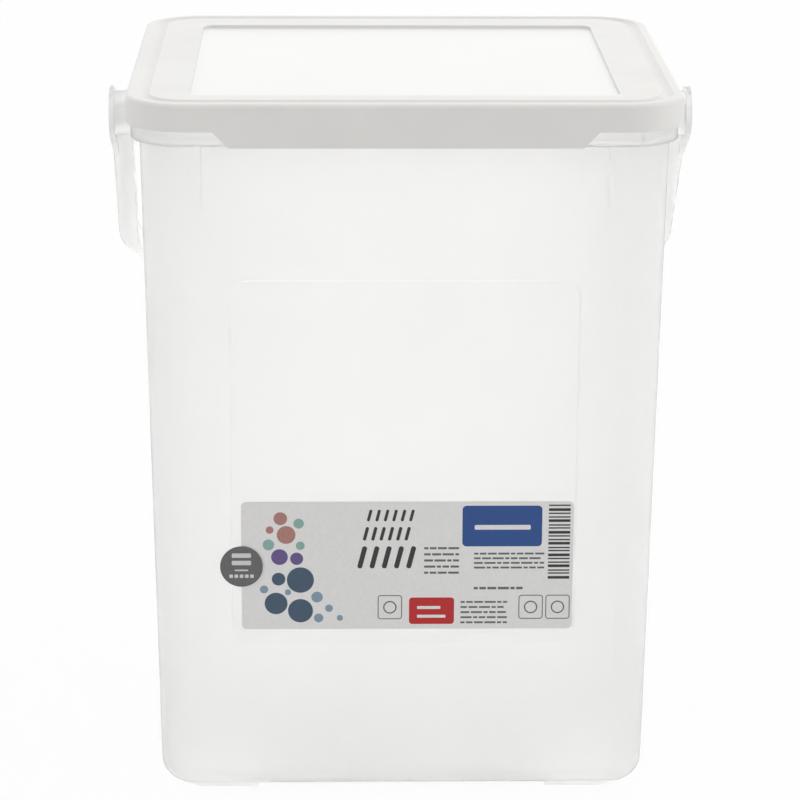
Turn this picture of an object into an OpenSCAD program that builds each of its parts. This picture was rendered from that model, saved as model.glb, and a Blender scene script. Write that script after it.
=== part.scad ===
// Laundry powder tub: a drafted rectangular tub with a stepped rim, a press-on lid with a grip
// tab at the front, and a channel-section carrying bail that swings on two side pins.
// The origin lies in the plane of the feet, in the middle of the width and depth of the whole
// object with its bail at rest behind. The front faces -Y.

/* [Lid] */
// Height of the whole tub with its lid on
total_h = 276.6; // [200:0.1:350]
// Width of the lid over its skirt
lid_w = 209; // [160:1:260]
// Depth of the lid over its skirt
lid_d = 199; // [160:1:260]
// Radius of the lid's vertical corners
lid_corner_r = 23; // [21:0.5:34]
// Thickness of the skirt that hangs round the rim
skirt_t = 1.6; // [1.2:0.1:2.2]
// Height of the skirt
skirt_h = 10.5; // [8:0.5:14]
// Rounding of the lid's outer top edge
lid_edge_r = 1.6; // [1:0.1:3]
// Width of the raised bead round the lid's edge
bead_w = 3.8; // [3.4:0.1:9]
// Width of the groove inside the bead
groove_w = 5.2; // [2:0.1:6]
// Depth of that groove
groove_depth = 1.3; // [0.5:0.1:1.5]
// Thickness of the lid's top wall at its bead
lid_top_t = 3; // [2.6:0.1:4]
// Depth of the recessed field in the middle of the lid
field_depth = 1.2; // [0.3:0.1:1.5]
// Margin of the recessed field at the lid's sides
field_side_margin = 24; // [15:0.5:40]
// Margin of the recessed field at the lid's front
field_front_margin = 18; // [15:0.5:40]
// Margin of the recessed field at the lid's back
field_back_margin = 25.5; // [15:0.5:40]
// Corner radius of the recessed field
field_corner_r = 4; // [2:0.5:12]
// Wall of the plug that enters the tub's mouth
plug_t = 1.4; // [1.2:0.1:2]
// Depth of that plug below the rim
plug_depth = 5.6; // [4.5:0.1:9]

/* [Grip tab] */
// Width of the grip tab at its lower edge
tab_w = 131; // [60:1:140]
// Reach of the grip tab below the skirt
tab_drop = 6; // [3:0.1:7]

/* [Tub] */
// Thickness of the tub's walls
wall = 1.8; // [1.4:0.1:2.4]
// Draft of the walls in degrees
draft = 1.12; // [0.5:0.01:1.3]
// Height of the stepped collar that the lid goes over
collar_h = 13.2; // [11:0.1:18]
// Step from the wall out to the collar
collar_step = 3.2; // [2.4:0.1:3.6]
// Radius of the edge between walls and base
base_edge_r = 10.5; // [6:0.5:11]
// Thickness of the floor over the feet
floor_t = 3.2; // [2.8:0.1:5]
// Height of the four corner feet
foot_h = 1.6; // [0.8:0.1:3]
// Distance of a foot's outer edge in front of the flat part of the floor
foot_edge = 2.6; // [0:0.1:3]
// Corner radius of the feet
foot_corner_r = 12; // [6:0.5:16]
// Gap between the feet along the front
foot_gap_w = 113; // [60:1:130]
// Gap between the feet along the sides
foot_gap_d = 96; // [60:1:120]

/* [Stacking ribs] */
// Distance between the two ribs on the front or back
rib_spacing = 153.5; // [80:0.5:156]
// Thickness of a rib
rib_t = 2; // [1.2:0.1:4]
// Length of a rib below the collar
rib_l = 26; // [10:0.5:60]
// How far a rib stands out at its lower end
rib_foot = 0.8; // [0.4:0.1:2]

/* [Label field] */
// Width of the recessed label field
panel_w = 131; // [131:1:138]
// Height of the recessed label field
panel_h = 141; // [90:1:160]
// Height of the field's lower edge above the base
panel_z = 67; // [40:1:85]
// Slope of the field's edge, as a length on its sides and top
panel_bevel = 0.8; // [0.4:0.1:2]
// Length of the long slope at the field's foot
panel_ledge = 4; // [1:0.5:8]
// Depth of the label field
panel_depth = 0.5; // [0.3:0.1:0.8]
// Corner radius of the label field
panel_corner_r = 6; // [2:0.5:10]

/* [Stickers] */
// Width of the printed sticker
sticker_w = 127.5; // [60:0.5:127.5]
// Height of the printed sticker
sticker_h = 52; // [20:0.5:80]
// Height of the sticker's lower edge above that of the label field
sticker_rise = 2; // [1:0.5:30]
// Distance that the sticker sits off the middle, to the right
sticker_shift = 1.5; // [0:0.1:1.5]
// Corner radius of the sticker
sticker_corner_r = 2; // [1:0.5:6]
// Thickness of the sticker film
film_t = 0.2; // [0.1:0.05:0.25]
// Radius of the round sticker
badge_r = 8.2; // [5:0.1:14]
// Height of the round sticker's middle above the big one's lower edge
badge_rise = 25.9; // [10:0.1:40]

/* [Bail] */
// Depth of the bail's channel section, from its rounded web to its open side
bail_depth = 8.2; // [6.5:0.1:10]
// Width of the channel, half of which is the radius of its rounded web
bail_w = 9.5; // [8:0.5:11]
// Thickness of the channel's web and flanges
bail_t = 1.7; // [1.2:0.1:2.2]
// Radius of the flat eye at each arm's end
eye_r = 10.5; // [9.5:0.1:13]
// Thickness of the eye
eye_t = 2; // [1.8:0.1:3]
// Length over which an arm narrows from its eye to the channel
arm_taper_l = 40; // [30:1:60]
// Outer radius of the bail's two corners
bail_corner_r = 28; // [20:0.5:30]
// How much further out each arm stands at the bail's corner than at its eye
arm_spread = 2.7; // [0:0.1:5]
// Angle below level at which the bail rests against the back
rest_angle = 39.5; // [32:0.5:48]
// Spacing of the stiffening ribs in the channel
bail_rib_pitch = 16; // [10:1:40]
// Thickness of those ribs
bail_rib_t = 1.2; // [0.8:0.1:2]

/* [Pivots] */
// Depth of the pivot axis below the top of the lid
pivot_drop = 22.5; // [22:0.5:40]
// Radius of the boss that carries each pin
boss_r = 9.5; // [7:0.5:10]
// Radius of the pin
pin_r = 3.9; // [2.5:0.1:5]
// Radius of the hub behind each eye
hub_r = 8.9; // [7:0.1:9]
// Height of the snap lip over the pin
lip_h = 0.8; // [0.4:0.1:1]
// Thickness of the snap lip
lip_t = 1.2; // [0.8:0.1:1.6]

/* [Fits] */
// Gap between the lid's skirt and the collar
lid_fit = 0.3; // [0.15:0.05:0.5]
// Gap between the lid's plug and the mouth
plug_fit = 0.25; // [0.15:0.05:0.5]
// Radial clearance of the pin in its bore
pin_fit = 0.05; // [0.02:0.01:0.1]
// Side play between the boss, the arm and the pin's lip
side_play = 0.3; // [0.2:0.05:0.5]
// Gap between the lid's side and the arms
arm_gap = 2.4; // [0.6:0.1:4]
// Gap between the resting grip and the back wall
rest_gap = 0.5; // [0.3:0.1:2]

/* [Hidden] */
$fn = 96;
// Overlap that makes two solids of one piece fuse
fuse = 0.4;
// Overreach of a cut past the face that it opens
over = 1;

// Heights, from the top of the lid down
rim_z = total_h - lid_top_t;
skirt_z = total_h - skirt_h;
collar_z = rim_z - collar_h;
groove_r = (pow(groove_w / 2, 2) + pow(groove_depth, 2)) / (2 * groove_depth);
plug_z = rim_z - plug_depth;
pivot_z = total_h - pivot_drop;

// The wall's outer face at the collar's foot, which the whole tub is swept round
collar_in = skirt_t + lid_fit;
body_w = lid_w - 2 * (collar_in + collar_step);
body_d = lid_d - 2 * (collar_in + collar_step);
body_corner_r = lid_corner_r - collar_in - collar_step;
function lean(z) = (z - collar_z) * tan(draft);
function half_w(z) = body_w / 2 + lean(z);
function half_d(z) = body_d / 2 + lean(z);

// Middle of the base edge's round, tangent to the drafted wall, and the flat floor inside it
base_arc_x = lean(foot_h + base_edge_r) - base_edge_r / cos(draft);
base_inset = -base_arc_x;

// Bail: width over its eyes, and the reach that lays the grip against the back wall, in tenths
arm_in = lid_w / 2 + arm_gap;
arm_out = arm_in + bail_depth;
grip_in = (half_d(pivot_z - bail_w / 2 * cos(rest_angle)) + rest_gap + bail_w / 2 * sin(rest_angle))
    / (cos(rest_angle) + sin(rest_angle) * tan(draft));
reach = ceil(10 * (grip_in + bail_depth)) / 10;

// Middle of the bail's corner, from which the arms lean in to the eyes
round_y = reach - bail_corner_r;
round_x = arm_out + arm_spread - bail_corner_r;

// Middle of the depth between the lid's front and the back of the resting grip
back_y = (reach - bail_w / 2) * cos(rest_angle) + bail_w / 2;
middle_y = (back_y - lid_d / 2) / 2;

// Rounded rectangle in the plane, from true arcs
module rounded_rect(w, d, r) {
    square([w - 2 * r, d], center = true);
    square([w, d - 2 * r], center = true);
    for (x = [-1, 1], y = [-1, 1])
        translate([x * (w / 2 - r), y * (d / 2 - r)]) circle(r);
}

// Sweeps a section round a rounded rectangle: the section's x is the distance outward from
// the rectangle's edge, and its y is the height
module sweep_round(w, d, r) {
    for (x = [0, 1], y = [0, 1])
        mirror([x, 0, 0]) mirror([0, y, 0])
            translate([w / 2 - r, d / 2 - r, 0])
                rotate_extrude(angle = 90) translate([r, 0]) children();
    for (side = [0, 180]) rotate([0, 0, side]) {
        translate([w / 2, d / 2 - r, 0])
            rotate([90, 0, 0]) linear_extrude(d - 2 * r) children();
        translate([-w / 2 + r, d / 2, 0])
            rotate([90, 0, 90]) linear_extrude(w - 2 * r) children();
    }
}

// Region inside a drafted wall line, with a round foot tangent to the line and to the base.
// The line's x is set in from the tub's outer face, and shift moves it at the collar
module drafted_region(set_in, base_z, foot_r, step_z, far) {
    middle_z = base_z + foot_r;
    middle_x = lean(middle_z) - set_in - foot_r / cos(draft);
    translate([middle_x, middle_z]) circle(foot_r);
    polygon([
        [far, base_z], [middle_x, base_z], [middle_x, middle_z],
        [middle_x + foot_r * cos(draft), middle_z - foot_r * sin(draft)],
        [lean(step_z) - set_in, step_z], [collar_step - set_in, step_z + set_in / 2],
        [collar_step - set_in, rim_z + set_in], [far, rim_z + set_in]
    ]);
}

// Section of the tub's wall: base edge, drafted wall, step and collar
module wall_section() {
    floor_end = base_arc_x - fuse;
    far = floor_end - 2 * base_edge_r;
    difference() {
        drafted_region(0, foot_h, base_edge_r, collar_z, far);
        drafted_region(wall, foot_h + floor_t, base_edge_r - wall, collar_z + wall, far - over);
        translate([far - 2 * over, -over]) square([floor_end - far + 2 * over, rim_z + 4 * over]);
    }
}

// Four pads under the corners, cut from one low plate
module feet() {
    inset = base_inset - foot_edge;
    difference() {
        linear_extrude(foot_h + 2 * fuse)
            rounded_rect(body_w - 2 * inset, body_d - 2 * inset, foot_corner_r);
        translate([-foot_gap_w / 2, -lid_d / 2, -over]) cube([foot_gap_w, lid_d, foot_h + over]);
        translate([-lid_w / 2, -foot_gap_d / 2, -over]) cube([lid_w, foot_gap_d, foot_h + over]);
    }
}

// Puts children, drawn in the plane of the front wall with y up, onto that drafted wall
module on_front(z) {
    translate([0, -half_d(z), z]) rotate([90 + draft, 0, 0]) children();
}

// Cut of the label field, flat at its depth and sloping out to the wall's face and past it
module label_field() {
    rise = 0.25;
    grow = (panel_depth + rise) / panel_depth;
    side = panel_bevel * grow;
    foot = panel_ledge * grow;
    hull() {
        translate([0, panel_h / 2, -panel_depth]) linear_extrude(0.01)
            rounded_rect(panel_w, panel_h, panel_corner_r, $fn = 32);
        translate([0, (panel_h + side - foot) / 2, rise]) linear_extrude(0.01)
            rounded_rect(panel_w + 2 * side, panel_h + side + foot, panel_corner_r, $fn = 32);
    }
}

module stacking_rib() {
    top = collar_z + fuse;
    low = collar_z - rib_l;
    rotate([90, 0, 90]) translate([0, 0, -rib_t / 2]) linear_extrude(rib_t)
        polygon([[half_d(low) - fuse, low], [half_d(low) + rib_foot, low],
            [body_d / 2 + collar_step, collar_z], [body_d / 2 + collar_step, top],
            [half_d(top) - fuse, top]]);
}

// Boss on the tub's side with the pin and snap lip that carry one arm of the bail
module pivot_pin() {
    boss_face = arm_in - side_play;
    seat = arm_out - eye_t;
    translate([0, 0, pivot_z]) rotate([0, 90, 0]) {
        translate([0, 0, half_w(pivot_z) - wall / 2])
            cylinder(r = boss_r, h = boss_face - half_w(pivot_z) + wall / 2);
        translate([0, 0, boss_face - fuse])
            cylinder(r = pin_r, h = seat + side_play + fuse - boss_face);
        translate([0, 0, seat + side_play]) cylinder(r = pin_r + lip_h, h = lip_t);
    }
}

module tub() {
    color([0.93, 0.94, 0.93]) {
        difference() {
            union() {
                sweep_round(body_w, body_d, body_corner_r) wall_section();
                translate([0, 0, foot_h]) linear_extrude(floor_t)
                    rounded_rect(body_w - 2 * base_inset, body_d - 2 * base_inset,
                        body_corner_r - base_inset);
                feet();
                for (side = [0, 180], x = [-1, 1])
                    rotate([0, 0, side]) translate([x * rib_spacing / 2, 0, 0]) stacking_rib();
                for (side = [0, 180]) rotate([0, 0, side]) pivot_pin();
            }
            on_front(panel_z) label_field();
        }
    }
}

// Section of the lid's edge: skirt, rounded bead, groove and the plug inside the mouth
module lid_section() {
    plug_out = -(collar_in + wall + plug_fit);
    inner = -(bead_w + groove_w + 2);
    difference() {
        union() {
            translate([-skirt_t, skirt_z]) square([skirt_t, skirt_h - lid_edge_r]);
            translate([inner, rim_z]) square([-inner, total_h - lid_edge_r - rim_z]);
            translate([inner, rim_z]) square([-inner - lid_edge_r, total_h - rim_z]);
            translate([-lid_edge_r, total_h - lid_edge_r]) intersection() {
                circle(lid_edge_r);
                square(lid_edge_r);
            }
            translate([plug_out - plug_t, plug_z]) square([plug_t, plug_depth + fuse]);
        }
        translate([-bead_w - groove_w / 2, total_h + groove_r - groove_depth]) circle(groove_r);
    }
}

module grip_tab() {
    half = tab_w / 2;
    translate([0, -lid_d / 2 + skirt_t, 0]) rotate([90, 0, 0]) linear_extrude(skirt_t)
        polygon([[-half, skirt_z - tab_drop], [half, skirt_z - tab_drop],
            [half + tab_drop, skirt_z], [half + tab_drop, skirt_z + fuse],
            [-half - tab_drop, skirt_z + fuse], [-half - tab_drop, skirt_z]]);
}

module lid() {
    plate_in = bead_w + groove_w + 1;
    field_w = lid_w - 2 * field_side_margin;
    field_d = lid_d - field_front_margin - field_back_margin;
    color([0.95, 0.95, 0.94]) {
        difference() {
            union() {
                sweep_round(lid_w, lid_d, lid_corner_r) lid_section();
                translate([0, 0, rim_z]) linear_extrude(total_h - rim_z)
                    rounded_rect(lid_w - 2 * plate_in, lid_d - 2 * plate_in, lid_corner_r - plate_in);
                grip_tab();
            }
            translate([0, (field_front_margin - field_back_margin) / 2, total_h - field_depth])
                linear_extrude(field_depth + over) rounded_rect(field_w, field_d, field_corner_r);
        }
    }
}

// Section of the channel, grown by a margin: its rounded outer edge is at x = 0, and its open
// side faces -x
module channel_section(margin, depth) {
    r = bail_w / 2 + margin;
    intersection() {
        union() {
            translate([-bail_w / 2, 0]) circle(r);
            translate([-depth, -r]) square([depth - bail_w / 2, 2 * r]);
        }
        translate([-depth, -bail_w]) square([depth + over, 2 * bail_w]);
    }
}

// An arm's channel, leaning outward from its hub to the bail's corner
module leaning_arm(margin, depth) {
    hull() for (end = [[arm_out, hub_r / 2], [arm_out + arm_spread, round_y]])
        translate([end[0], end[1], 0]) rotate([90, 0, 0]) linear_extrude(0.001)
            channel_section(margin, depth, $fn = 32);
}

// Sweeps a channel section along the bail's grip, corners and arms
module sweep_bail(margin, depth) {
    for (side = [0, 1]) mirror([side, 0, 0]) {
        translate([round_x, round_y, 0]) rotate_extrude(angle = 90)
            translate([bail_corner_r, 0]) channel_section(margin, depth);
        leaning_arm(margin, depth);
    }
    translate([-round_x, reach, 0]) rotate([90, 0, 90]) linear_extrude(2 * round_x)
        channel_section(margin, depth);
}

// Thin walls left standing in the channel
module bail_ribs() {
    grip_ribs = floor(round_x / bail_rib_pitch);
    arm_first = arm_taper_l + bail_rib_t;
    arm_ribs = floor((round_y - arm_first) / bail_rib_pitch);
    for (i = [-grip_ribs:grip_ribs])
        translate([i * bail_rib_pitch - bail_rib_t / 2, round_y, -bail_w])
            cube([bail_rib_t, 2 * bail_corner_r, 2 * bail_w]);
    for (i = [0:arm_ribs], side = [0, 1]) mirror([side, 0, 0])
        translate([arm_in / 2, arm_first + i * bail_rib_pitch, -bail_w])
            cube([arm_out, bail_rib_t, 2 * bail_w]);
}

// Side view of an arm's end: a circle that narrows to a smaller one
module arm_end(big, small) {
    turn = asin((big - small) / arm_taper_l);
    circle(big);
    translate([0, arm_taper_l]) circle(small);
    for (side = [0, 1]) mirror([side, 0])
        polygon([[0, 0], [big * cos(turn), big * sin(turn)],
            [small * cos(turn), arm_taper_l + small * sin(turn)], [0, arm_taper_l]]);
}

// Flat eye with its tongue, and the hub and bore behind it
module bail_eye() {
    translate([arm_out - eye_t, 0, 0]) rotate([90, 0, 90]) linear_extrude(eye_t)
        rotate([0, 0, -90]) arm_end(eye_r, bail_t);
    translate([arm_in, 0, 0]) rotate([0, 90, 0]) cylinder(r = hub_r, h = bail_depth);
}

// The bail lying in the XY plane, its arms reaching along +Y from the pin axis on X
module flat_bail() {
    difference() {
        union() {
            difference() {
                sweep_bail(0, bail_depth);
                difference() {
                    sweep_bail(-bail_t, bail_depth + over);
                    bail_ribs();
                }
            }
            for (side = [0, 1]) mirror([side, 0, 0]) bail_eye();
        }
        for (side = [0, 180]) rotate([0, 0, side]) rotate([0, 90, 0]) {
            translate([0, 0, arm_in - over]) cylinder(r = pin_r + pin_fit, h = bail_depth + 2 * over);
            translate([0, 0, arm_out - eye_t])
                cylinder(r = pin_r + lip_h + side_play, h = eye_t + over);
        }
    }
}

module bail_handle() {
    color([0.90, 0.91, 0.90]) translate([0, 0, pivot_z]) rotate([-rest_angle, 0, 0]) flat_bail();
}

module front_sticker() {
    color([0.80, 0.80, 0.79])
        on_front(panel_z) translate([sticker_shift, sticker_rise + sticker_h / 2, -panel_depth])
            linear_extrude(film_t) rounded_rect(sticker_w, sticker_h, sticker_corner_r);
}

// Disc across the edge of the label field: it lies on the wall and on the sticker
module round_sticker() {
    color([0.25, 0.25, 0.26])
        on_front(panel_z) translate([sticker_shift - sticker_w / 2, sticker_rise + badge_rise, 0]) {
            linear_extrude(film_t) circle(badge_r);
            translate([0, 0, film_t - panel_depth]) linear_extrude(panel_depth) intersection() {
                circle(badge_r);
                translate([0, -badge_r]) square([badge_r, 2 * badge_r]);
            }
        }
}

// Moves children from the middle of the tub to the middle of the whole object
module centred() {
    translate([0, -middle_y, 0]) children();
}

centred() tub();
centred() lid();
centred() bail_handle();
centred() front_sticker();
centred() round_sticker();
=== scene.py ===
"""Looks of the laundry powder tub: a milky translucent tub and bail, a white lid, two stickers."""

import math

import bpy
from mathutils import Matrix, Vector


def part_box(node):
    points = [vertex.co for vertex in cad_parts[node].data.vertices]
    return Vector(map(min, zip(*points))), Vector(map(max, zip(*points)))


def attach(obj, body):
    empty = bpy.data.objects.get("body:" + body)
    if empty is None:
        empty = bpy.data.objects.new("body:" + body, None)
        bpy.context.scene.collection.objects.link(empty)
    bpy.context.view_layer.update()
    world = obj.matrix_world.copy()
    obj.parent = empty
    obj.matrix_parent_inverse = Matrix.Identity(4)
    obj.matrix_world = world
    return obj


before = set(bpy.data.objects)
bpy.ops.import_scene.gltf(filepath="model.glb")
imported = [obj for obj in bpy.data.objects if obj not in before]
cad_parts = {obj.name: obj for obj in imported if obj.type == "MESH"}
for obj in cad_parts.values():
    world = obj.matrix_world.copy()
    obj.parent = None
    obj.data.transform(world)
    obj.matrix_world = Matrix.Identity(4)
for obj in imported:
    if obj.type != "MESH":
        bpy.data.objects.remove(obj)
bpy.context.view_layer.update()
MM = 0.001

# The tub is one injection moulding in milky polypropylene. Its walls are under 2 mm thick, so
# the light of the room comes through them. The tool that made it was finely etched outside,
# which leaves a satin face, and the melt left faint flow marks that run up from the gate.

MILKY_IOR = 1.35
SHELL_SHARE_THROUGH = 0.90
ETCHING_DEPTH = 0.02 * MM


class Channel:
    """A number that varies over a surface, with the arithmetic that shader maths needs."""

    def __init__(self, finish, socket):
        self.finish = finish
        self.socket = socket

    def _math(self, operation, first, second):
        node = self.finish.node("ShaderNodeMath", {"operation": operation}, {0: first, 1: second})
        return Channel(self.finish, node.outputs[0])

    def __add__(self, other):
        return self._math("ADD", self, other)

    def __sub__(self, other):
        return self._math("SUBTRACT", self, other)

    def __rsub__(self, other):
        return self._math("SUBTRACT", other, self)

    def __mul__(self, other):
        return self._math("MULTIPLY", self, other)

    def __abs__(self):
        return self._math("ABSOLUTE", self, 0.0)

    def step(self, low, high):
        """0 below low and 1 above high, with a smooth rise between."""
        node = self.finish.node(
            "ShaderNodeMapRange",
            {"interpolation_type": "SMOOTHSTEP"},
            {"Value": self, "From Min": low, "From Max": high},
        )
        return Channel(self.finish, node.outputs["Result"])


class Finish:
    """A material and the few ways in which this object's surfaces are built up."""

    def __init__(self, name):
        self.material = bpy.data.materials.new(name)
        self.material.use_nodes = True
        self.tree = self.material.node_tree
        self.surface = self.tree.nodes["Principled BSDF"]
        self.place = self.tree.nodes.new("ShaderNodeTexCoord").outputs["Object"]

    def feed(self, socket, value):
        if isinstance(value, Channel):
            value = value.socket
        if isinstance(value, bpy.types.NodeSocket):
            self.tree.links.new(value, socket)
        else:
            socket.default_value = value

    def node(self, kind, settings, values):
        node = self.tree.nodes.new(kind)
        for name, value in settings.items():
            setattr(node, name, value)
        for name, value in values.items():
            self.feed(node.inputs[name], value)
        return node

    def noise(self, size, detail=3.0, rough=0.5, stretch=(1.0, 1.0, 1.0)):
        """Noise whose lumps are about size metres across, longer along a stretched axis."""
        scale = [1.0 / (size * part) for part in stretch]
        spread = self.node("ShaderNodeMapping", {}, {"Vector": self.place, "Scale": scale})
        cloud = self.node(
            "ShaderNodeTexNoise",
            {},
            {"Vector": spread.outputs[0], "Scale": 1.0, "Detail": detail, "Roughness": rough},
        )
        return Channel(self, cloud.outputs["Fac"])

    def axes(self):
        split = self.node("ShaderNodeSeparateXYZ", {}, {0: self.place})
        return [Channel(self, output) for output in split.outputs]

    def tint(self, amount, low, high):
        """Colour that goes from low to high with amount."""
        ends = [(*end, 1.0) if isinstance(end, tuple) else end for end in (low, high)]
        mix = self.node("ShaderNodeMix", {"data_type": "RGBA"}, {0: amount, 6: ends[0], 7: ends[1]})
        return mix.outputs[2]

    def relief(self, height, depth):
        """Small relief, depth metres high where height goes from 0 to 1."""
        inputs = {"Height": height, "Distance": depth, "Strength": 1.0}
        bump = self.node("ShaderNodeBump", {}, inputs)
        self.feed(self.surface.inputs["Normal"], bump.outputs[0])

    def wear(self, node_name):
        """Puts the material on a CAD node."""
        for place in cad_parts[node_name].material_slots:
            place.material = self.material


milky_shell = Finish("milky_shell")
flow_marks = milky_shell.noise(22 * MM, 4.0, 0.55, (1.0, 1.0, 7.0))
clouding = milky_shell.noise(60 * MM, 2.0)
etching = milky_shell.noise(0.45 * MM, 2.0, 0.6)
shell_tone = flow_marks * 0.5 + clouding * 0.5
milky_shell.feed(
    milky_shell.surface.inputs["Base Color"],
    milky_shell.tint(shell_tone.step(0.25, 0.75), (0.982, 0.98, 0.974), (0.992, 0.99, 0.985)),
)
milky_shell.feed(milky_shell.surface.inputs["Roughness"], flow_marks * 0.10 + 0.55)
milky_shell.surface.inputs["IOR"].default_value = MILKY_IOR
milky_shell.surface.inputs["Transmission Weight"].default_value = SHELL_SHARE_THROUGH
milky_shell.relief(etching + flow_marks * 0.3, ETCHING_DEPTH)
milky_shell.wear("tub")

# The bail is a second milky moulding, a channel with a rounded web, two flanges and thin cross
# ribs. Its flow marks run along it, and it lets the light through with less bending.

BAIL_IOR = 1.24
BAIL_SHARE_THROUGH = 0.90

milky_bail = Finish("milky_bail")
bail_flow = milky_bail.noise(10 * MM, 3.0, 0.5, (3.0, 1.0, 1.0))
bail_etching = milky_bail.noise(0.40 * MM, 2.0, 0.6)
milky_bail.feed(
    milky_bail.surface.inputs["Base Color"],
    milky_bail.tint(bail_flow.step(0.3, 0.7), (0.97, 0.97, 0.963), (0.985, 0.985, 0.978)),
)
milky_bail.feed(milky_bail.surface.inputs["Roughness"], bail_flow * 0.12 + 0.58)
milky_bail.surface.inputs["IOR"].default_value = BAIL_IOR
milky_bail.surface.inputs["Transmission Weight"].default_value = BAIL_SHARE_THROUGH
milky_bail.relief(bail_etching, ETCHING_DEPTH)
milky_bail.wear("bail_handle")

# The lid is a separate opaque white moulding that is pressed over the tub's collar. Its
# recessed field was polished in the tool and the rim round it is matt. The field's base colour
# is painted whiter than the rim's: a painted sheen, the polished field's reflection of the
# white room laid into its colour.

FIELD_SIDE = 24.0 * MM
FIELD_FRONT = 18.0 * MM
FIELD_BACK = 25.5 * MM
EDGE_BLUR = 0.2 * MM
# The field's colour is the lid's own white lightened by a painted sheen
FIELD_COLOUR_WITH_PAINTED_SHEEN = (0.795, 0.793, 0.785)

white_lid = Finish("white_lid")
lid_low, lid_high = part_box("lid")
across, along = white_lid.axes()[:2]
field_half_w = lid_high[0] - FIELD_SIDE + EDGE_BLUR
field_front = lid_low[1] + FIELD_FRONT - EDGE_BLUR
field_back = lid_high[1] - FIELD_BACK + EDGE_BLUR
in_width = 1.0 - abs(across).step(field_half_w - EDGE_BLUR, field_half_w)
past_front = along.step(field_front, field_front + EDGE_BLUR)
past_back = along.step(field_back - EDGE_BLUR, field_back)
in_depth = past_front - past_back
field = in_width * in_depth
lid_cloud = white_lid.noise(50 * MM, 3.0)
lid_etching = white_lid.noise(0.50 * MM, 2.0, 0.6)
rim_colour = white_lid.tint(lid_cloud.step(0.3, 0.7), (0.755, 0.745, 0.725), (0.79, 0.782, 0.76))
# Base colour: the rim's own white, and in the field a lighter colour that is painted sheen
white_lid.feed(
    white_lid.surface.inputs["Base Color"],
    white_lid.tint(field, rim_colour, FIELD_COLOUR_WITH_PAINTED_SHEEN),
)
white_lid.feed(white_lid.surface.inputs["Roughness"], 0.46 - field * 0.16 + lid_cloud * 0.06)
white_lid.relief(lid_etching * (1.0 - field * 0.7), ETCHING_DEPTH)
white_lid.wear("lid")

# The front sticker is a grey-white film, printed and cut with small round corners, that is
# laid into the shallow field of the front wall. Its print here is plain fields and bars.

FILM_T = 0.2 * MM
INK_T = 0.03 * MM
FILM_RIPPLE = 0.06 * MM

film = Finish("printed_film")
film_grain = film.noise(1.2 * MM, 2.0)
film.feed(
    film.surface.inputs["Base Color"],
    film.tint(film_grain.step(0.2, 0.8), (0.735, 0.73, 0.72), (0.775, 0.77, 0.76)),
)
film.feed(film.surface.inputs["Roughness"], film_grain * 0.08 + 0.34)
film.relief(film.noise(20 * MM, 1.0), FILM_RIPPLE)
film.wear("front_sticker")

# Place of the film on the leaning wall, from the node's box
low, high = (Vector(corner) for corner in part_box("front_sticker"))
rise = high.z - low.z
lean = math.asin((high.y - low.y - FILM_T) / rise)
film_corner = Matrix.Translation((low.x, high.y, low.z + FILM_T * math.sin(lean)))
onto_wall = Matrix.Rotation(math.radians(90) + lean, 4, "X")
film_face = film_corner @ onto_wall @ Matrix.Translation((0, 0, FILM_T))


def ink(name, colour, gloss):
    """Printing ink: a flat colour with the fine mottle of a printed dot screen."""
    made = Finish(name)
    mottle = made.noise(0.6 * MM, 2.0)
    dark = tuple(part * 0.90 for part in colour)
    made.feed(made.surface.inputs["Base Color"], made.tint(mottle.step(0.3, 0.7), dark, colour))
    made.feed(made.surface.inputs["Roughness"], mottle * 0.06 + gloss)
    return made


def patch(u0, v0, u1, v1, corner=0.0, turn=0.0):
    """A rounded flat patch of ink on the film: millimetres from its lower left corner."""
    bpy.ops.object.select_all(action="DESELECT")
    middle = ((u0 + u1) / 2 * MM, (v0 + v1) / 2 * MM, 0)
    bpy.ops.mesh.primitive_plane_add(size=1, location=middle, rotation=(0, 0, math.radians(turn)))
    made = bpy.context.object
    made.scale = ((u1 - u0) * MM, (v1 - v0) * MM, 1)
    bpy.ops.object.transform_apply(location=True, rotation=True, scale=True)
    bpy.ops.object.mode_set(mode="EDIT")
    if corner:
        bpy.ops.mesh.bevel(offset=corner * MM, segments=6, affect="VERTICES")
    bpy.ops.object.mode_set(mode="OBJECT")
    return made


def disc(u, v, radius, facets=48):
    bpy.ops.object.select_all(action="DESELECT")
    bpy.ops.mesh.primitive_circle_add(
        vertices=facets, radius=radius * MM, fill_type="NGON", location=(u * MM, v * MM, 0)
    )
    bpy.ops.object.transform_apply(location=True, rotation=True, scale=True)
    return bpy.context.object


def hollow(shape, line):
    """Leaves only a line of that width in millimetres along the edge of a flat shape."""
    bpy.ops.object.select_all(action="DESELECT")
    shape.select_set(True)
    bpy.context.view_layer.objects.active = shape
    bpy.ops.object.mode_set(mode="EDIT")
    bpy.ops.mesh.select_all(action="SELECT")
    bpy.ops.mesh.inset(thickness=line * MM, depth=0)
    bpy.ops.mesh.delete(type="FACE")
    bpy.ops.object.mode_set(mode="OBJECT")
    return shape


def print_on(face, name, shapes, finish, level=0):
    """Joins flat shapes to one piece of ink, gives it its thickness and lays it on the face."""
    bpy.ops.object.select_all(action="DESELECT")
    for shape in shapes:
        shape.select_set(True)
    made = shapes[0]
    bpy.context.view_layer.objects.active = made
    if len(shapes) > 1:
        bpy.ops.object.join()
    bpy.ops.object.mode_set(mode="EDIT")
    bpy.ops.mesh.select_all(action="SELECT")
    bpy.ops.mesh.extrude_region_move(TRANSFORM_OT_translate={"value": (0, 0, INK_T)})
    bpy.ops.mesh.select_all(action="SELECT")
    bpy.ops.mesh.normals_make_consistent(inside=False)
    bpy.ops.object.mode_set(mode="OBJECT")
    made.name = name
    made.matrix_world = face @ Matrix.Translation((0, 0, level * INK_T))
    bpy.ops.object.transform_apply(location=True, rotation=True, scale=True)
    made.data.materials.clear()
    made.data.materials.append(finish.material)
    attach(made, "tub")


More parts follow.
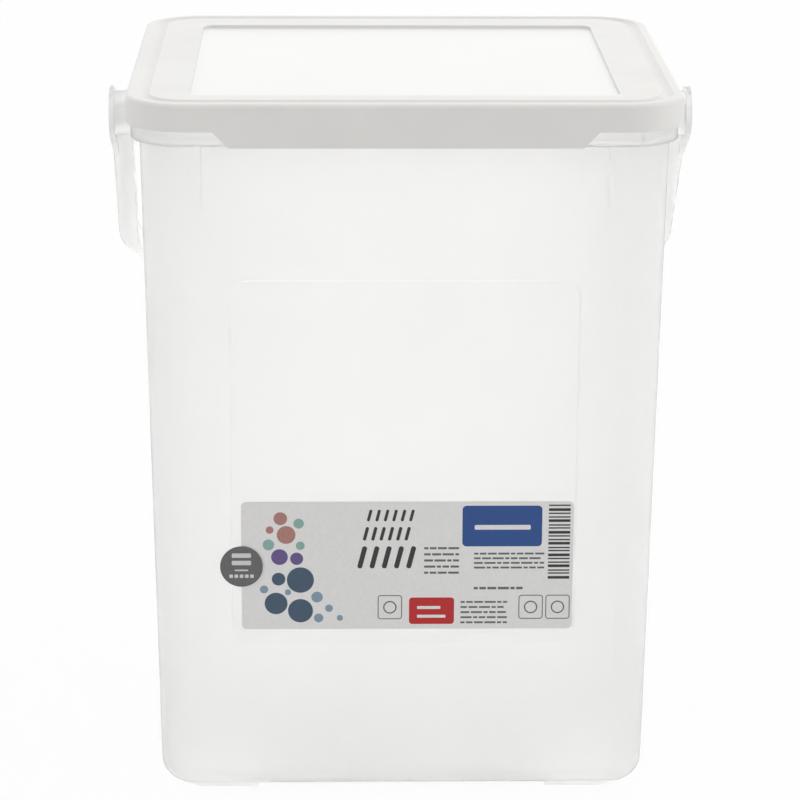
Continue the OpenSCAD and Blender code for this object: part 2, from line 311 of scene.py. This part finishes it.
blue_ink = ink("blue_ink", (0.008, 0.065, 0.26), 0.30)
red_ink = ink("red_ink", (0.50, 0.006, 0.009), 0.30)
black_ink = ink("black_ink", (0.022, 0.022, 0.024), 0.34)
grey_ink = ink("grey_ink", (0.13, 0.13, 0.13), 0.38)
white_ink = ink("white_ink", (0.78, 0.78, 0.77), 0.32)
rose_ink = ink("rose_ink", (0.42, 0.20, 0.17), 0.32)
mint_ink = ink("mint_ink", (0.25, 0.42, 0.38), 0.32)
violet_ink = ink("violet_ink", (0.12, 0.08, 0.24), 0.32)
slate_ink = ink("slate_ink", (0.045, 0.085, 0.14), 0.32)
sky_ink = ink("sky_ink", (0.22, 0.32, 0.40), 0.32)

print_on(film_face, "print_blue_field", [patch(84.8, 33.8, 115.4, 50.3, 1.6)], blue_ink)
print_on(film_face, "print_red_field", [patch(64.5, 2.0, 81.9, 12.9, 1.3)], red_ink)
print_on(
    film_face,
    "print_white_bars",
    [
        patch(89.5, 40.6, 111.0, 42.5, 0.5),
        patch(67.6, 8.2, 76.6, 9.4, 0.3),
        patch(67.6, 4.6, 78.6, 5.8, 0.3),
    ],
    white_ink,
    level=1,
)

# Upright stripes at the right edge, in a simple repeat of thin and thick ones
stripes = []
stripe_v = 20.5
for count in range(20):
    thick = 1.1 if count % 3 == 0 else 0.55
    stripes.append(patch(117.9, stripe_v, 126.2, stripe_v + thick))
    stripe_v += thick + (0.65 if count % 2 else 0.95)
print_on(film_face, "print_stripes", stripes, black_ink)

# Three rows of slanted brush strokes in the middle, each row taller and heavier than the last
BRUSH_SLANT = -14.0
strokes = []
for foot, height, left, right, thick, count in (
    (44.0, 4.8, 49.2, 65.4, 1.15, 6),
    (36.2, 5.6, 47.8, 63.8, 1.25, 6),
    (24.8, 9.2, 46.4, 65.2, 1.9, 5),
):
    for place in range(count):
        u = left + (right - left) * place / (count - 1)
        half, round_end = thick / 2, thick * 0.45
        strokes.append(patch(u - half, foot, u + half, foot + height, round_end, BRUSH_SLANT))
print_on(film_face, "print_strokes", strokes, black_ink)

# Framed squares along the foot, each with a plain ring
frames = []
for left in (52.4, 106.8, 117.2):
    frames.append(hollow(patch(left, 4.0, left + 9.4, 13.9, 1.2), 0.35))
    frames.append(hollow(disc(left + 4.7, 8.9, 2.6), 0.5))
print_on(film_face, "print_frames", frames, grey_ink)


def rows_of_dashes(left, top, width, rows, pitch, height):
    """Rows of short dashes, each of a few lengths in turn, like small print from afar."""
    made = []
    for row in range(rows):
        start = left
        count = row
        while start < left + width - 1.2:
            length = 1.6 + 0.9 * (count * 5 % 4)
            end = min(start + length, left + width)
            made.append(patch(start, top - row * pitch - height, end, top - row * pitch))
            start = end + 0.6
            count += 1
    return made


small_print = (
    rows_of_dashes(70.2, 33.5, 13.4, 5, 2.5, 0.85)
    + rows_of_dashes(89.4, 31.2, 27.0, 4, 1.9, 0.75)
    + rows_of_dashes(89.4, 17.2, 20.4, 1, 2.0, 1.0)
    + rows_of_dashes(84.4, 11.4, 18.0, 5, 2.1, 0.75)
)
print_on(film_face, "print_small_rows", small_print, grey_ink)

# Bubbles of a few sizes at the left, in the sheet's rose, mint, violet and slate blues
rose_bubbles = [disc(15, 45.2, 2.6), disc(17.2, 38.6, 3.6), disc(10.9, 40.6, 1.5)]
mint_bubbles = [disc(22, 43.2, 2), disc(10.4, 34.6, 2.2), disc(22.6, 34.2, 1.7)]
violet_bubbles = [disc(14.6, 29.6, 3.2), disc(21.2, 28.9, 2.5)]
slate_bubbles = [disc(22.6, 20.2, 5.2), disc(14.2, 20.6, 2.6)]
slate_bubbles += [disc(13.2, 10.6, 4.4), disc(22.6, 7.6, 4.8)]
sky_bubbles = [disc(29, 13.2, 2.2), disc(17.8, 15.2, 1.2), disc(29.6, 4.6, 1.8)]
sky_bubbles += [disc(8.6, 16.4, 1.6), disc(33.6, 8.6, 1.5), disc(37.8, 4.6, 1.2)]
print_on(film_face, "print_rose_bubbles", rose_bubbles, rose_ink)
print_on(film_face, "print_mint_bubbles", mint_bubbles, mint_ink)
print_on(film_face, "print_violet_bubbles", violet_bubbles, violet_ink)
print_on(film_face, "print_slate_bubbles", slate_bubbles, slate_ink)
print_on(film_face, "print_sky_bubbles", sky_bubbles, sky_ink)

# The round sticker is a small die-cut disc of dark film, laid across the big one's left edge.
# Pale bars and a row of dots are printed on it.

dark_film = Finish("dark_film")
dark_grain = dark_film.noise(1.0 * MM, 2.0)
dark_film.feed(
    dark_film.surface.inputs["Base Color"],
    dark_film.tint(dark_grain.step(0.2, 0.8), (0.105, 0.106, 0.108), (0.128, 0.129, 0.131)),
)
dark_film.feed(dark_film.surface.inputs["Roughness"], dark_grain * 0.08 + 0.36)
dark_film.wear("round_sticker")

badge_low, badge_high = (Vector(corner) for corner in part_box("round_sticker"))
badge_middle = (badge_low + badge_high) / 2
BADGE_R = (badge_high.x - badge_low.x) / 2
badge_place = (badge_middle.x, badge_low.y + BADGE_R * math.sin(lean), badge_middle.z)
badge_face = Matrix.Translation(badge_place) @ onto_wall
pale_ink = ink("pale_ink", (0.66, 0.66, 0.66), 0.36)
badge_marks = [
    patch(-3.7, 3.6, 3.7, 5.4, 0.4),
    patch(-3.7, 0.6, 3.7, 2.4, 0.4),
    patch(-2.6, -1.8, 2.6, -1.2, 0.2),
]
badge_marks += [patch(u - 0.7, -4.6, u + 0.7, -3.2, 0.3) for u in (-4.0, -2.0, 0.0, 2.0, 4.0)]
print_on(badge_face, "print_round_marks", badge_marks, pale_ink)

# White sweep and soft light of a product table: a large lamp behind, whose light comes through
# the tub, a weaker one overhead and two at the sides. The pale walls of the room are seen as
# white behind the tub and through it.

FLOOR_SIZE = 12.0
SWEEP_GLOW = 0.94
bpy.ops.object.select_all(action="DESELECT")
bpy.ops.mesh.primitive_plane_add(size=FLOOR_SIZE, location=(0, 0, 0))
floor = bpy.context.object
floor.name = "floor"
bpy.ops.object.mode_set(mode="EDIT")
bpy.ops.mesh.subdivide(number_cuts=3)
bpy.ops.object.mode_set(mode="OBJECT")

sweep = Finish("white_sweep")
sweep.surface.inputs["Base Color"].default_value = (0.86, 0.86, 0.86, 1.0)
sweep.surface.inputs["Roughness"].default_value = 0.9
seen = sweep.node("ShaderNodeLightPath", {}, {})
seen_ray = (
    Channel(sweep, seen.outputs["Is Camera Ray"])
    + Channel(sweep, seen.outputs["Is Glossy Ray"])
    + Channel(sweep, seen.outputs["Is Transmission Ray"])
)
glow = sweep.node("ShaderNodeEmission", {}, {"Color": (1, 1, 1, 1), "Strength": 1.0})
glow_share = seen_ray.step(0.0, 1.0) * SWEEP_GLOW
shown = sweep.node(
    "ShaderNodeMixShader", {}, {0: glow_share, 1: sweep.surface.outputs[0], 2: glow.outputs[0]}
)
sweep.feed(sweep.tree.nodes["Material Output"].inputs["Surface"], shown.outputs[0])
floor.data.materials.append(sweep.material)

ROOM_LIGHT = 0.66
world = bpy.data.worlds.new("studio_walls")
bpy.context.scene.world = world
world.use_nodes = True
walls = world.node_tree
room_ray = walls.nodes.new("ShaderNodeLightPath")
straight = walls.nodes.new("ShaderNodeMath")
straight.operation = "ADD"
walls.links.new(room_ray.outputs["Is Camera Ray"], straight.inputs[0])
walls.links.new(room_ray.outputs["Is Glossy Ray"], straight.inputs[1])
through = walls.nodes.new("ShaderNodeMath")
through.operation = "ADD"
through.use_clamp = True
walls.links.new(straight.outputs[0], through.inputs[0])
walls.links.new(room_ray.outputs["Is Transmission Ray"], through.inputs[1])
strength = walls.nodes.new("ShaderNodeMapRange")
walls.links.new(through.outputs[0], strength.inputs["Value"])
strength.inputs["To Min"].default_value = ROOM_LIGHT
strength.inputs["To Max"].default_value = 1.0
walls.nodes["Background"].inputs["Color"].default_value = (1, 1, 1, 1)
walls.links.new(strength.outputs["Result"], walls.nodes["Background"].inputs["Strength"])


def soft_lamp(name, place, aim, size, watts):
    bpy.ops.object.light_add(type="AREA", location=place)
    lamp = bpy.context.object
    lamp.name = name
    lamp.data.shape = "SQUARE"
    lamp.data.size = size
    lamp.data.energy = watts
    lamp.visible_camera = False
    lamp.rotation_euler = (Vector(aim) - Vector(place)).to_track_quat("-Z", "Y").to_euler()


soft_lamp("overhead_lamp", (0.1, 0.1, 1.7), (0, 0, 0.2), 1.6, 5.2)
soft_lamp("back_lamp", (0.0, 2.2, 0.6), (0, 0, 0.12), 3.4, 17.0)
soft_lamp("left_lamp", (-2.0, -0.1, 0.8), (0, 0, 0.15), 2.4, 6.0)
soft_lamp("right_lamp", (2.0, -0.3, 0.8), (0, 0, 0.15), 2.4, 15.0)

# The camera stands a little left of the tub's middle, well above it, and looks down
CAMERA_PLACE = (-29.2 * MM, -1298.87 * MM, 508.3 * MM)
CAMERA_PAN = math.radians(1.32)
CAMERA_TILT = math.radians(16.08)
CAMERA_ROLL = math.radians(0.29)
CAMERA_LENS = 148.98
CAMERA_SHIFT = (-0.00075, 0.00225)
camera_data = bpy.data.cameras.new("photo_view")
camera_data.sensor_width = 36.0
camera_data.lens = CAMERA_LENS
camera_data.shift_x, camera_data.shift_y = CAMERA_SHIFT
camera_data.clip_start = 0.05
camera_data.clip_end = 40.0
camera = bpy.data.objects.new("photo_view", camera_data)
bpy.context.scene.collection.objects.link(camera)
camera.matrix_world = (
    Matrix.Translation(CAMERA_PLACE)
    @ Matrix.Rotation(-CAMERA_PAN, 4, "Z")
    @ Matrix.Rotation(math.radians(90) - CAMERA_TILT, 4, "X")
    @ Matrix.Rotation(CAMERA_ROLL, 4, "Z")
)
bpy.context.scene.camera = camera
bpy.context.scene.view_settings.view_transform = "Standard"
